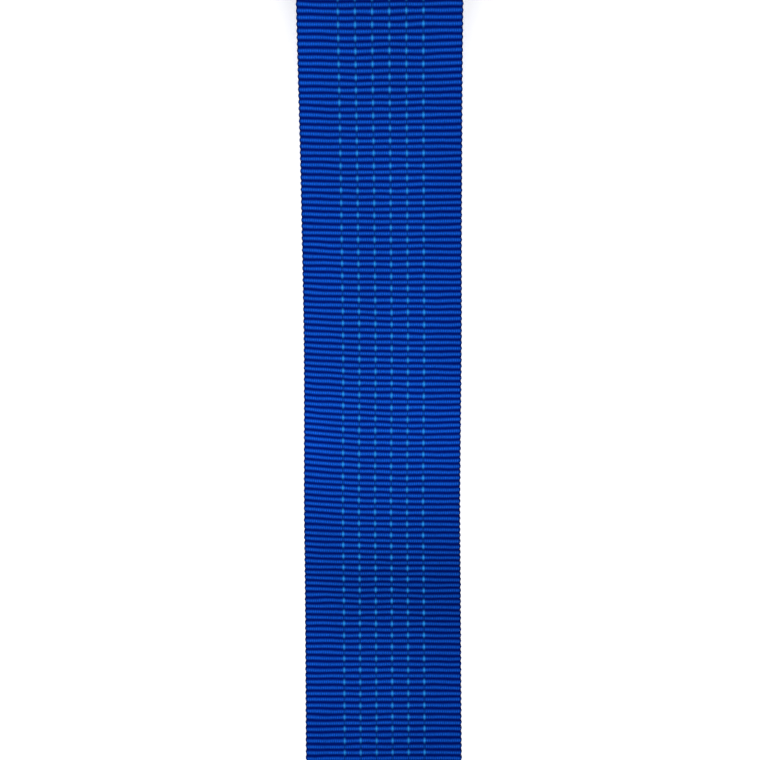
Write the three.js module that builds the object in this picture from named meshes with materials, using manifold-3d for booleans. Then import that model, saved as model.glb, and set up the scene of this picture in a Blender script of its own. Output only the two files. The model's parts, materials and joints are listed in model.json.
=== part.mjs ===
// Ratchet tie-down for one-inch polyester webbing: a ratchet buckle, a short strap and a long strap,
// each strap ending in a double wire hook, with the spare length of the long strap folded and tied.
// Millimetres. +Z is up, +X runs from the ratchet along the long strap, and Y is across the webbing.
// The origin is under the middle of the ratchet's base web, on the surface that the tie-down lies on.
import * as THREE from 'three';
import { mergeVertices } from 'three/addons/utils/BufferGeometryUtils.js';
import Module from 'manifold-3d';

const wasm = await Module();
wasm.setup();

// Driving dimensions
const GAP = 0.3; // clearance between neighbouring pieces
const WEB_WIDTH = 25.4;
const WEB_THICKNESS = 1.3;
const WIRE_RADIUS = 2.75; // of the hooks

const AXLE_X = 42; // the mandrel's axis
const AXLE_Z = 19;
const MANDREL_RADIUS = 7;
const SLOT_HEIGHT = 3; // between the two half-round shafts
const TOOTH_COUNT = 12;
const TIP_RADIUS = 15;
const ROOT_RADIUS = 11.8;
const BORE_RADIUS = MANDREL_RADIUS + 0.4;

// The stack across the axle, from the middle outwards, as distances from the middle plane
const FRAME_PLATE = 2;
const WHEEL_THICKNESS = 2.5;
const ARM_PLATE = 1.8;
const WASHER_THICKNESS = 1.2;
const WASHER_RADIUS = 9.8;
const FRAME_INNER = 14;
const FRAME_OUTER = FRAME_INNER + FRAME_PLATE;
const WHEEL_INNER = FRAME_OUTER + GAP;
const ARM_INNER = WHEEL_INNER + WHEEL_THICKNESS + GAP;
const ARM_OUTER = ARM_INNER + ARM_PLATE;
const WASHER_INNER = ARM_OUTER + GAP;
const COTTER = { shank: 0.95, leg: 0.6, eye: 1.5, eyeWire: 0.75 };
const COTTER_Y = WASHER_INNER + WASHER_THICKNESS + 1.5;
const MANDREL_END = COTTER_Y + 2.3;

// Base frame and the bolt that holds the short strap
const BOLT_X = -40;
const BOLT_Z = 8;
const BOLT_RADIUS = 3;
const HEX_RADIUS = 5.6; // to the corners of the bolt's head and the nut
const BOLT_HEAD = 4;
const NUT_HEIGHT = 4.8;
const BOLT_END = 6.8; // how far the bolt's end stands out from the frame
const SLEEVE_RADIUS = 5.4;
const BASE_WEB = { x0: -22, x1: 22, thickness: 2 };
const LOBE_RADIUS = 12;
const SHOULDER_Z = 20;

// Pawls: flat plates that slide along X, one under and one over the axle
const PAWL_THICKNESS = 3;
const PAWL_OFFSET = 5; // of each pawl's middle, below or above the axle
const PAWL_NOSE_X = AXLE_X - 14.9; // just clear of the tooth tips
const PAWL_HEAD_LENGTH = 9;
const TONGUE_HALF = 2;
const PAWL_TRAVEL = 4.5;
const LOCK_Z = AXLE_Z - PAWL_OFFSET;
const DRIVE_Z = AXLE_Z + PAWL_OFFSET;
const SPRING = { meanRadius: 3.6, wire: 0.45, turns: 5 };
const LOCK_TAB_X = 4; // spring seats, at their low X faces
const DRIVE_TAB_X = 2;
const TAB_THICKNESS = 2;
const TAB_HALF = 8;

// Handle
const HANDLE_END_X = -58;
const ARM_LOW_Z = 17.5;
const ARM_HIGH_Z = 31;
const ARM_LOBE_RADIUS = 11.8;
const WEB_PLATE = 1.8;
const WINDOW = { x0: -24, x1: 0, half: 13 };
const FINGER_TAB = { x: -12.5, thickness: 2.5, half: 9, rise: 5 };
const HANDLE_WEB_FRONT = 10;
const GRIP = { x0: -63, x1: -27, half: 23.6, z0: 15, z1: 34, corner: 4 };
const GRIP_RIB = 2.6; // the grip's wall inside each handle arm
const RIVET = { x: -45, z: 23, radius: 2 };

// Long strap: it droops from the mandrel, runs along the surface, and is then folded to and fro
const DROOP_HEIGHT = AXLE_Z - WEB_THICKNESS / 2;
const DROOP_LENGTH = 134;
const DROOP_POWER = 2.6;
const SLOT_TILT = Math.atan((DROOP_HEIGHT * DROOP_POWER) / DROOP_LENGTH); // the slot follows the webbing
const HANK_X0 = 195;
const HANK_LENGTH = 175;
const HANK_Z0 = 1.3;
const LAYER_PITCH = 1.5;
const HANK_LAYERS = 22; // one more lies on top and ends in the hook's loop
const TIE = { width: 18, thickness: 1, near: HANK_X0 + 9, far: HANK_X0 + 147 };

// Hooks, measured from the middle of the bar that the webbing loops around
const BAR_HALF = 13.5;
const BEND_RADIUS = 4.5;
const LEG_SPREAD = 3.1;
const LEG_DROP = 1.65;
const NECK_END = 30;
const JAW_X = 46;
const JAW_RADIUS = 12.5;
const TIP_REACH = 6;
const SHORT_BAR_X = -160;
const LONG_BAR_X = HANK_X0 + 73;
const LOOP_RADIUS = WIRE_RADIUS + 0.35;
const BAR_HEIGHT = LOOP_RADIUS + WEB_THICKNESS; // of the bar's middle over what the loop lies on

const MATERIALS = {
  zinc: { color: 0xc9ccd0, roughness: 0.35, metalness: 1 },
  darkZinc: { color: 0xa9a48f, roughness: 0.4, metalness: 1 },
  webbing: { color: 0x1258c8, roughness: 0.75, metalness: 0 },
  tie: { color: 0x15161a, roughness: 0.85, metalness: 0 },
  grip: { color: 0x16171a, roughness: 0.7, metalness: 0 },
  label: { color: 0xf2f2ee, roughness: 0.6, metalness: 0 },
  spring: { color: 0x8f9498, roughness: 0.3, metalness: 1 },
};

const tieDown = new THREE.Group();
tieDown.name = 'ratchet_tie_down';

function addPart(name, geometry, material) {
  const mesh = new THREE.Mesh(geometry, new THREE.MeshStandardMaterial(MATERIALS[material]));
  mesh.name = name;
  tieDown.add(mesh);
}

// Solids

function toSolid(geometry) {
  const bare = geometry.clone();
  bare.deleteAttribute('normal');
  bare.deleteAttribute('uv');
  const merged = mergeVertices(bare, 1e-4);
  const vertProperties = new Float32Array(merged.attributes.position.array);
  const triVerts = new Uint32Array(merged.index.array);
  return new wasm.Manifold(new wasm.Mesh({ numProp: 3, vertProperties, triVerts }));
}

function toGeometry(solid) {
  const mesh = solid.getMesh();
  const geometry = new THREE.BufferGeometry();
  geometry.setAttribute('position', new THREE.BufferAttribute(mesh.vertProperties, 3));
  geometry.setIndex(new THREE.BufferAttribute(mesh.triVerts, 1));
  geometry.computeVertexNormals();
  return geometry;
}

function join(geometries) {
  const solids = geometries.map(toSolid);
  return toGeometry(solids.reduce((whole, next) => whole.add(next)));
}

function cut(geometry, tools) {
  const solids = tools.map(toSolid);
  return toGeometry(solids.reduce((rest, tool) => rest.subtract(tool), toSolid(geometry)));
}

function box(x0, x1, y0, y1, z0, z1) {
  const geometry = new THREE.BoxGeometry(x1 - x0, y1 - y0, z1 - z0);
  return geometry.translate((x0 + x1) / 2, (y0 + y1) / 2, (z0 + z1) / 2);
}

// A cylinder along Y with its middle line at x, z
function roundBar(radius, x, z, y0, y1, segments = 36) {
  const geometry = new THREE.CylinderGeometry(radius, radius, y1 - y0, segments);
  return geometry.translate(x, (y0 + y1) / 2, z);
}

// An outline drawn in X and Z, given thickness from y0 to y1
function plate(shape, y0, y1, curveSegments = 12) {
  const geometry = new THREE.ExtrudeGeometry(shape, {
    depth: y1 - y0,
    bevelEnabled: false,
    curveSegments,
  });
  return geometry.rotateX(Math.PI / 2).translate(0, y1, 0);
}

// An outline drawn in Y and Z, given length from x0 to x1
function section(shape, x0, x1, curveSegments = 6) {
  const geometry = new THREE.ExtrudeGeometry(shape, {
    depth: x1 - x0,
    bevelEnabled: false,
    curveSegments,
  });
  const turn = new THREE.Matrix4().makeBasis(
    new THREE.Vector3(0, 1, 0),
    new THREE.Vector3(0, 0, 1),
    new THREE.Vector3(1, 0, 0),
  );
  return geometry.applyMatrix4(turn).translate(x0, 0, 0);
}

function tube(points, radius, steps, sides) {
  const outline = new THREE.Shape();
  outline.absarc(0, 0, radius, 0, 2 * Math.PI);
  return new THREE.ExtrudeGeometry(outline, {
    extrudePath: new THREE.CatmullRomCurve3(points),
    steps,
    curveSegments: sides,
    bevelEnabled: false,
  });
}

function polygon(points) {
  return new THREE.Shape(points.map(([x, y]) => new THREE.Vector2(x, y)));
}

function roundedRectangle(x0, x1, y0, y1, radius) {
  const shape = new THREE.Shape();
  shape.absarc(x1 - radius, y0 + radius, radius, -Math.PI / 2, 0);
  shape.absarc(x1 - radius, y1 - radius, radius, 0, Math.PI / 2);
  shape.absarc(x0 + radius, y1 - radius, radius, Math.PI / 2, Math.PI);
  shape.absarc(x0 + radius, y0 + radius, radius, Math.PI, 1.5 * Math.PI);
  shape.closePath();
  return shape;
}

// Turns a piece drawn around the origin so that its slot follows the webbing, and sets it on the axle
function ontoAxle(geometry) {
  return geometry.rotateY(SLOT_TILT).translate(AXLE_X, 0, AXLE_Z);
}

// Base frame: two side plates and a base web, with the lock pawl's spring seat bent up from the web

function sidePlateOutline() {
  const shape = new THREE.Shape();
  const degrees = THREE.MathUtils.degToRad;
  shape.moveTo(BOLT_X, 0);
  shape.lineTo(BASE_WEB.x1 + 2, 0);
  shape.absarc(AXLE_X, AXLE_Z, LOBE_RADIUS, degrees(-125), degrees(165));
  shape.lineTo(AXLE_X - 16.5, SHOULDER_Z);
  shape.lineTo(0, SHOULDER_Z);
  shape.lineTo(-30, 2 * BOLT_Z - 1);
  shape.absarc(BOLT_X, BOLT_Z, BOLT_Z, degrees(80), degrees(270));
  return shape;
}

function baseFrame() {
  const outline = sidePlateOutline();
  const tabTop = LOCK_Z + 4.2;
  const steel = join([
    plate(outline, -FRAME_OUTER, -FRAME_INNER, 24),
    plate(outline, FRAME_INNER, FRAME_OUTER, 24),
    box(BASE_WEB.x0, BASE_WEB.x1, -FRAME_OUTER + 1, FRAME_OUTER - 1, 0, BASE_WEB.thickness),
    box(LOCK_TAB_X, LOCK_TAB_X + TAB_THICKNESS, -TAB_HALF, TAB_HALF, 1, tabTop),
  ]);
  const across = FRAME_OUTER + 1;
  return cut(steel, [
    roundBar(BORE_RADIUS, AXLE_X, AXLE_Z, -across, across, 40),
    roundBar(BOLT_RADIUS + GAP, BOLT_X, BOLT_Z, -across, across, 24),
    pawlSlot(LOCK_Z, across),
    tongueSlot(LOCK_TAB_X, LOCK_Z),
  ]);
}

// The window in both side plates or handle arms that a pawl's head slides in
function pawlSlot(z, across) {
  const half = PAWL_THICKNESS / 2 + GAP;
  const back = PAWL_NOSE_X - PAWL_HEAD_LENGTH - PAWL_TRAVEL - GAP;
  return box(back, PAWL_NOSE_X + 2 * GAP, -across, across, z - half, z + half);
}

function tongueSlot(tabX, z) {
  const half = PAWL_THICKNESS / 2 + GAP;
  const side = TONGUE_HALF + GAP;
  return box(tabX - 1, tabX + TAB_THICKNESS + 1, -side, side, z - half, z + half);
}

// Spool: two half-round shafts, a toothed wheel on each side, washers and cotter pins

function halfRound(radius, flat, side) {
  const edge = Math.asin(flat / radius);
  const shape = new THREE.Shape();
  const start = side > 0 ? edge : Math.PI + edge;
  shape.absarc(0, 0, radius, start, start + Math.PI - 2 * edge);
  shape.closePath();
  return shape;
}

function mandrelHalf(side) {
  const outline = halfRound(MANDREL_RADIUS, SLOT_HEIGHT / 2, side);
  const shaft = plate(outline, -MANDREL_END, MANDREL_END, 20);
  const radius = COTTER.shank + 0.35;
  const hole = new THREE.CylinderGeometry(radius, radius, 3 * MANDREL_RADIUS, 16);
  hole.rotateX(Math.PI / 2);
  const holes = [-COTTER_Y, COTTER_Y].map((y) => hole.clone().translate(0, y, 0));
  return ontoAxle(cut(shaft, holes));
}

function ratchetWheelOutline() {
  const shape = new THREE.Shape();
  shape.moveTo(TIP_RADIUS, 0);
  const pitch = (2 * Math.PI) / TOOTH_COUNT;
  for (let tooth = 0; tooth < TOOTH_COUNT; tooth += 1) {
    const corners = [
      [TIP_RADIUS, 0.1],
      [ROOT_RADIUS, 0.2],
      [ROOT_RADIUS, 0.35],
      [TIP_RADIUS, 1],
    ];
    for (const [radius, share] of corners) {
      const angle = (tooth + share) * pitch;
      const place = [radius * Math.cos(angle), radius * Math.sin(angle)];
      shape.lineTo(...place);
    }
  }
  shape.closePath();
  for (const side of [-1, 1]) {
    const keyed = halfRound(MANDREL_RADIUS + 0.12, SLOT_HEIGHT / 2 - 0.12, side);
    shape.holes.push(keyed);
  }
  return shape;
}

function ratchetWheel(side) {
  const inner = WHEEL_INNER;
  const outer = inner + WHEEL_THICKNESS;
  const [y0, y1] = side > 0 ? [inner, outer] : [-outer, -inner];
  return ontoAxle(plate(ratchetWheelOutline(), y0, y1, 20));
}

function spoolWasher(side) {
  const inner = WASHER_INNER;
  const outer = inner + WASHER_THICKNESS;
  const [y0, y1] = side > 0 ? [inner, outer] : [-outer, -inner];
  const disc = roundBar(WASHER_RADIUS, 0, 0, y0, y1, 40);
  return ontoAxle(cut(disc, [roundBar(MANDREL_RADIUS + 0.25, 0, 0, y0 - 1, y1 + 1, 40)]));
}

// A split pin through both shafts: a looped head above, and two legs spread apart below
function cotterPin(side) {
  const length = 2 * MANDREL_RADIUS + 2.6;
  const shank = new THREE.CylinderGeometry(COTTER.shank, COTTER.shank, length, 14);
  const eye = new THREE.TorusGeometry(COTTER.eye, COTTER.eyeWire, 8, 20);
  eye.rotateX(Math.PI / 2).translate(0, 0, MANDREL_RADIUS + 2.2);
  const pieces = [shank.rotateX(Math.PI / 2), eye];
  for (const way of [-1, 1]) {
    const leg = new THREE.CylinderGeometry(COTTER.leg, COTTER.leg, 4.4, 10);
    leg.rotateZ(Math.PI / 2).rotateY(way * 0.5);
    pieces.push(leg.translate(way * 2, 0, -MANDREL_RADIUS - 1.2));
  }
  return ontoAxle(join(pieces).translate(0, side * COTTER_Y, 0));
}

function strapInSlot() {
  const half = WEB_THICKNESS / 2;
  const reach = Math.sqrt(MANDREL_RADIUS ** 2 - half ** 2);
  return ontoAxle(box(-reach, reach, -WEB_WIDTH / 2, WEB_WIDTH / 2, -half, half));
}

// Pawls and their springs

// A flat T: the wide head meets both wheels, and the tongue carries the spring
function pawlOutline(headHalf, tongueEnd) {
  const back = PAWL_NOSE_X - PAWL_HEAD_LENGTH;
  return polygon([
    [tongueEnd, -TONGUE_HALF],
    [back, -TONGUE_HALF],
    [back, -headHalf],
    [PAWL_NOSE_X, -headHalf],
    [PAWL_NOSE_X, headHalf],
    [back, headHalf],
    [back, TONGUE_HALF],
    [tongueEnd, TONGUE_HALF],
  ]);
}

function pawlPlate(headHalf, tongueEnd, z) {
  const settings = { depth: PAWL_THICKNESS, bevelEnabled: false };
  const geometry = new THREE.ExtrudeGeometry(pawlOutline(headHalf, tongueEnd), settings);
  return geometry.translate(0, 0, z - PAWL_THICKNESS / 2);
}

function lockPawl() {
  return pawlPlate(ARM_INNER - GAP, LOCK_TAB_X - 8, LOCK_Z);
}

function drivePawl() {
  const { x, thickness, half, rise } = FINGER_TAB;
  const low = DRIVE_Z - PAWL_THICKNESS / 2;
  const fingerTab = box(x, x + thickness, -half, half, low, ARM_HIGH_Z + rise);
  return join([pawlPlate(ARM_OUTER - 0.2, x, DRIVE_Z), fingerTab]);
}

function coilSpring(x0, x1, z) {
  const points = [];
  const perTurn = 10;
  const count = SPRING.turns * perTurn;
  for (let step = 0; step <= count; step += 1) {
    const angle = (step / perTurn) * 2 * Math.PI;
    const x = x0 + ((x1 - x0) * step) / count;
    const y = SPRING.meanRadius * Math.cos(angle);
    points.push(new THREE.Vector3(x, y, z + SPRING.meanRadius * Math.sin(angle)));
  }
  return tube(points, SPRING.wire, count, 3);
}

function pawlSpring(tabX, z) {
  const clear = SPRING.wire + GAP;
  return coilSpring(tabX + TAB_THICKNESS + clear, PAWL_NOSE_X - PAWL_HEAD_LENGTH - clear, z);
}

// Anchor: bolt, sleeve and nut at the back of the base frame

function anchorBolt() {
  const outer = FRAME_OUTER + GAP + BOLT_HEAD;
  const head = roundBar(HEX_RADIUS, BOLT_X, BOLT_Z, -outer, -FRAME_OUTER - GAP, 6);
  const end = FRAME_OUTER + BOLT_END;
  return join([head, roundBar(BOLT_RADIUS, BOLT_X, BOLT_Z, -FRAME_OUTER - 2, end, 24)]);
}

function anchorNut() {
  const inner = FRAME_OUTER + GAP;
  const outer = inner + NUT_HEIGHT;
  const nut = roundBar(HEX_RADIUS, BOLT_X, BOLT_Z, inner, outer, 6);
  return cut(nut, [roundBar(BOLT_RADIUS + 0.15, BOLT_X, BOLT_Z, inner - 1, outer + 1, 24)]);
}

function anchorSleeve() {
  const half = FRAME_INNER - GAP;
  const outside = roundBar(SLEEVE_RADIUS, BOLT_X, BOLT_Z, -half, half, 28);
  return cut(outside, [roundBar(BOLT_RADIUS + 0.2, BOLT_X, BOLT_Z, -half - 1, half + 1, 24)]);
}

// Handle: a folded steel channel with a window for the finger tab, and a moulded grip over its end

function armOutline() {
  const degrees = THREE.MathUtils.degToRad;
  const shape = new THREE.Shape();
  shape.moveTo(HANDLE_END_X + 3, ARM_LOW_Z);
  shape.lineTo(AXLE_X - 18, ARM_LOW_Z);
  shape.absarc(AXLE_X, AXLE_Z, ARM_LOBE_RADIUS, degrees(-150), degrees(90));
  shape.lineTo(AXLE_X - 22, ARM_HIGH_Z);
  shape.lineTo(HANDLE_END_X + 4, ARM_HIGH_Z);
  shape.absarc(HANDLE_END_X + 4, ARM_HIGH_Z - 4, 4, degrees(90), degrees(180));
  shape.lineTo(HANDLE_END_X, ARM_LOW_Z + 3);
  shape.closePath();
  return shape;
}

function handleFrame() {
  const outline = armOutline();
  const webLow = ARM_HIGH_Z - WEB_PLATE;
  const across = ARM_OUTER + 1;
  const steel = join([
    plate(outline, -ARM_OUTER, -ARM_INNER, 20),
    plate(outline, ARM_INNER, ARM_OUTER, 20),
    box(HANDLE_END_X + 4, HANDLE_WEB_FRONT, 0.5 - ARM_OUTER, ARM_OUTER - 0.5, webLow, ARM_HIGH_Z),
    box(DRIVE_TAB_X, DRIVE_TAB_X + TAB_THICKNESS, -TAB_HALF, TAB_HALF, DRIVE_Z - 4, ARM_HIGH_Z - 0.5),
  ]);
  return cut(steel, [
    roundBar(BORE_RADIUS, AXLE_X, AXLE_Z, -across, across, 40),
    box(WINDOW.x0, WINDOW.x1, -WINDOW.half, WINDOW.half, webLow - 1, ARM_HIGH_Z + 1),
    pawlSlot(DRIVE_Z, across),
    tongueSlot(DRIVE_TAB_X, DRIVE_Z),
    roundBar(RIVET.radius + GAP, RIVET.x, RIVET.z, -across, across, 20),
  ]);
}

function handleGrip() {
  const { half, corner } = GRIP;
  const outside = section(roundedRectangle(-half, half, GRIP.z0, GRIP.z1, corner), GRIP.x0, GRIP.x1);
  const pocketBack = HANDLE_END_X - GAP;
  const front = GRIP.x1 + 1;
  const high = ARM_HIGH_Z + GAP;
  const armPockets = [-1, 1].map((side) => {
    const edges = [side * (ARM_INNER - GAP), side * (ARM_OUTER + GAP)].sort((a, b) => a - b);
    return box(pocketBack, front, edges[0], edges[1], ARM_LOW_Z - GAP, high);
  });
  const webLow = ARM_HIGH_Z - WEB_PLATE - GAP;
  const webPocket = box(pocketBack, front, -ARM_INNER, ARM_INNER, webLow, high);
  const inside = ARM_INNER - GRIP_RIB;
  const channel = box(pocketBack, front, -inside, inside, GRIP.z0 - 1, ARM_HIGH_Z - 4);
  const rivetHole = roundBar(RIVET.radius + GAP, RIVET.x, RIVET.z, -half - 1, half + 1, 20);
  return cut(outside, [...armPockets, webPocket, channel, rivetHole]);
}

function gripRivet(side) {
  const headInner = GRIP.half + GAP;
  const profile = [
    [0, ARM_INNER - 2.4],
    [RIVET.radius, ARM_INNER - 2.4],
    [RIVET.radius, headInner],
    [3.6, headInner],
    [3.2, headInner + 0.8],
    [1.8, headInner + 1.3],
    [0, headInner + 1.4],
  ];
  const geometry = new THREE.LatheGeometry(profile.map(([r, y]) => new THREE.Vector2(r, y)), 20);
  if (side < 0) geometry.rotateX(Math.PI);
  return geometry.translate(RIVET.x, 0, RIVET.z);
}

// Straps

function droop(x) {
  const share = Math.max(0, 1 - (x - AXLE_X) / DROOP_LENGTH);
  return DROOP_HEIGHT * share ** DROOP_POWER;
}

function longStrapRun() {
  const start = AXLE_X + (MANDREL_RADIUS + GAP) * Math.cos(SLOT_TILT) + 0.4;
  const end = HANK_X0 - GAP;
  const steps = 30;
  const lower = [];
  for (let step = 0; step <= steps; step += 1) {
    const x = start + ((end - start) * step) / steps;
    lower.push([x, droop(x)]);
  }
  const upper = lower.map(([x, z]) => [x, z + WEB_THICKNESS]).reverse();
  return plate(polygon([...lower, ...upper]), -WEB_WIDTH / 2, WEB_WIDTH / 2);
}

function hankTop() {
  return HANK_Z0 + HANK_LAYERS * LAYER_PITCH;
}

function longStrapHank() {
  const top = hankTop() - LAYER_PITCH + WEB_THICKNESS;
  const outline = roundedRectangle(HANK_X0, HANK_X0 + HANK_LENGTH, HANK_Z0, top, 1.5);
  return plate(outline, -WEB_WIDTH / 2, WEB_WIDTH / 2, 3);
}

function hankTie(x, top) {
  const inside = WEB_WIDTH / 2 + GAP;
  const outside = inside + TIE.thickness;
  const shape = roundedRectangle(-outside, outside, 0, top + GAP + TIE.thickness, 1.6);
  shape.holes.push(roundedRectangle(-inside, inside, TIE.thickness, top + GAP, 0.6));
  return section(shape, x, x + TIE.width, 3);
}

// The outline between a loop around a bar and the flat webbing that starts at x
function loopNeck(barX, barZ, radius, x, low, high) {
  return polygon([
    [barX, barZ - radius],
    [x, low],
    [x, high],
    [barX, barZ + radius],
  ]);
}

// Webbing that ends in a sewn loop: the loop, its neck, the doubled hem and the single stretch
function loopedWebbing(loops, hems, flat) {
  const half = WEB_WIDTH / 2;
  const pieces = [box(flat.x0, flat.x1, -half, half, flat.z, flat.z + WEB_THICKNESS)];
  for (const hem of hems) {
    pieces.push(box(hem.x0, hem.x1, -half, half, flat.z, flat.z + 2 * WEB_THICKNESS));
  }
  const bars = [];
  for (const loop of loops) {
    const outer = loop.radius + WEB_THICKNESS;
    const high = flat.z + 2 * WEB_THICKNESS;
    const neck = loopNeck(loop.x, loop.z, outer, loop.neckX, flat.z, high);
    pieces.push(roundBar(outer, loop.x, loop.z, -half, half, 28));
    pieces.push(plate(loop.neckX < loop.x ? neck : reversed(neck), -half, half));
    bars.push(roundBar(loop.radius, loop.x, loop.z, -half - 1, half + 1, 28));
  }
  return cut(join(pieces), bars);
}

function reversed(shape) {
  return new THREE.Shape(shape.getPoints().reverse());
}

function shortStrap() {
  const boltLoop = { x: BOLT_X, z: BOLT_Z, radius: SLEEVE_RADIUS + GAP, neckX: BOLT_X - 22 };
  const hookLoop = { x: SHORT_BAR_X, z: BAR_HEIGHT, radius: LOOP_RADIUS, neckX: SHORT_BAR_X + 14 };
  const hems = [
    { x0: boltLoop.neckX - 28, x1: boltLoop.neckX + 0.5 },
    { x0: hookLoop.neckX - 0.5, x1: hookLoop.neckX + 28 },
  ];
  const flat = { x0: hookLoop.neckX, x1: boltLoop.neckX, z: 0 };
  return loopedWebbing([boltLoop, hookLoop], hems, flat);
}

function labelTag() {
  const middle = (BOLT_X + SHORT_BAR_X) / 2 - 4;
  const low = WEB_THICKNESS + GAP;
  return box(middle - 8, middle + 8, -11, 11, low, low + 0.5);
}

function longStrapEnd() {
  const low = hankTop() + GAP;
  const neckX = LONG_BAR_X - 14;
  const hookLoop = { x: LONG_BAR_X, z: low + BAR_HEIGHT, radius: LOOP_RADIUS, neckX };
  const hems = [{ x0: hookLoop.neckX - 32, x1: hookLoop.neckX + 0.5 }];
  const flat = { x0: HANK_X0 + 2, x1: hookLoop.neckX, z: low };
  return loopedWebbing([hookLoop], hems, flat);
}

// A hook bent from one wire: the bar under the webbing, two legs that come together, and a doubled jaw
function hookPath(side) {
  const points = [];
  const add = (x, y, z) => points.push([x, y, z]);
  add(0, 0.5, 0);
  add(0, BAR_HALF / 2, 0);
  for (const turn of [0, 0.25, 0.5, 0.75, 1]) {
    const angle = (turn * Math.PI) / 2;
    add(BEND_RADIUS * (1 - Math.cos(angle)), BAR_HALF + BEND_RADIUS * Math.sin(angle), 0);
  }
  const wide = BAR_HALF + BEND_RADIUS;
  for (const share of [0.2, 0.4, 0.6, 0.8, 1]) {
    const blend = THREE.MathUtils.smoothstep(share, 0, 1);
    const x = THREE.MathUtils.lerp(BEND_RADIUS, NECK_END, share);
    add(x, THREE.MathUtils.lerp(wide, LEG_SPREAD, blend), -LEG_DROP * blend);
  }
  add((NECK_END + JAW_X) / 2, LEG_SPREAD, -LEG_DROP);
  for (let step = 0; step <= 10; step += 1) {
    const angle = (step / 10) * Math.PI;
    const z = -LEG_DROP + JAW_RADIUS * (1 - Math.cos(angle));
    add(JAW_X + JAW_RADIUS * Math.sin(angle), LEG_SPREAD, z);
  }
  const top = -LEG_DROP + 2 * JAW_RADIUS;
  for (const turn of [0, 0.3, 0.6, 1]) {
    const angle = (turn * Math.PI) / 2;
    add(JAW_X - TIP_REACH - LEG_SPREAD * Math.sin(angle), LEG_SPREAD * Math.cos(angle), top);
  }
  const mirrored = points.slice(0, -1).reverse().map(([x, y, z]) => [x, -y, z]);
  return [...points, ...mirrored].map(([x, y, z]) => new THREE.Vector3(side * x, y, z));
}

function hook(side, barX, barZ) {
  return tube(hookPath(side), WIRE_RADIUS, 66, 5).translate(barX, 0, barZ);
}

addPart('base_frame', baseFrame(), 'zinc');
addPart('anchor_bolt', anchorBolt(), 'darkZinc');
addPart('anchor_sleeve', anchorSleeve(), 'zinc');
addPart('anchor_nut', anchorNut(), 'darkZinc');
addPart('lock_pawl', lockPawl(), 'darkZinc');
addPart('lock_spring', pawlSpring(LOCK_TAB_X, LOCK_Z), 'spring');
addPart('mandrel_half_upper', mandrelHalf(1), 'zinc');
addPart('mandrel_half_lower', mandrelHalf(-1), 'zinc');
addPart('ratchet_wheel_left', ratchetWheel(-1), 'darkZinc');
addPart('ratchet_wheel_right', ratchetWheel(1), 'darkZinc');
addPart('spool_washer_left', spoolWasher(-1), 'zinc');
addPart('spool_washer_right', spoolWasher(1), 'zinc');
addPart('cotter_pin_left', cotterPin(-1), 'zinc');
addPart('cotter_pin_right', cotterPin(1), 'zinc');
addPart('handle_frame', handleFrame(), 'zinc');
addPart('handle_grip', handleGrip(), 'grip');
addPart('grip_rivet_left', gripRivet(-1), 'zinc');
addPart('grip_rivet_right', gripRivet(1), 'zinc');
addPart('drive_pawl', drivePawl(), 'darkZinc');
addPart('drive_spring', pawlSpring(DRIVE_TAB_X, DRIVE_Z), 'spring');
addPart('strap_in_slot', strapInSlot(), 'webbing');
addPart('long_strap_run', longStrapRun(), 'webbing');
addPart('long_strap_hank', longStrapHank(), 'webbing');
addPart('long_strap_end', longStrapEnd(), 'webbing');
addPart('hank_tie_near', hankTie(TIE.near, hankTop() + LAYER_PITCH), 'tie');
addPart('hank_tie_far', hankTie(TIE.far, hankTop()), 'tie');
addPart('long_hook', hook(1, LONG_BAR_X, hankTop() + GAP + BAR_HEIGHT), 'zinc');
addPart('short_strap', shortStrap(), 'webbing');
addPart('label_tag', labelTag(), 'label');
addPart('short_hook', hook(-1, SHORT_BAR_X, BAR_HEIGHT), 'zinc');

export default tieDown;
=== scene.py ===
"""Looks of a ratchet tie-down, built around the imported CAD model.

Metres, in the CAD's frame: +X runs from the ratchet along the long strap, +Y is across the
webbing and +Z is up. The webbing lies on the floor at z = 0.
"""

import json
import math

import bmesh
import bpy
import numpy as np
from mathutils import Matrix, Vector


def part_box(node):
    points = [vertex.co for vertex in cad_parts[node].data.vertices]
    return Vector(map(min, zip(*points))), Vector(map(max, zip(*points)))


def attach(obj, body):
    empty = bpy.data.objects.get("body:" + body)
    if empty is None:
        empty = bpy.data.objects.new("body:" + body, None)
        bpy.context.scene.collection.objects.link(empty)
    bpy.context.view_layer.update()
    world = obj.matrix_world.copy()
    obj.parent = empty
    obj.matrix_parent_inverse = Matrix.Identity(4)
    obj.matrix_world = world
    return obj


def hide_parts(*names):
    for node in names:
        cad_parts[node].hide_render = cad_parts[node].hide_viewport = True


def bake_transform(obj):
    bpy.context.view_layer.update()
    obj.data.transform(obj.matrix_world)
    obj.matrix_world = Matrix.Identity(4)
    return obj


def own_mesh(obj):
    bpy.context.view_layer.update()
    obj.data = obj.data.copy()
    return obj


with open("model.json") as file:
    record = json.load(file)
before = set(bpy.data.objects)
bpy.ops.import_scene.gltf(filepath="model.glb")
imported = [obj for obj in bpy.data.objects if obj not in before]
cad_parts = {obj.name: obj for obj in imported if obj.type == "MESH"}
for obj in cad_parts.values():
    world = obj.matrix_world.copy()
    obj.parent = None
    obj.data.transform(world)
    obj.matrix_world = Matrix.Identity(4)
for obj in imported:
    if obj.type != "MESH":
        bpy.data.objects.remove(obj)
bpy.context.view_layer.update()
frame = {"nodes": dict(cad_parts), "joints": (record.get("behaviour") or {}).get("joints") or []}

MM = 0.001

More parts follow.
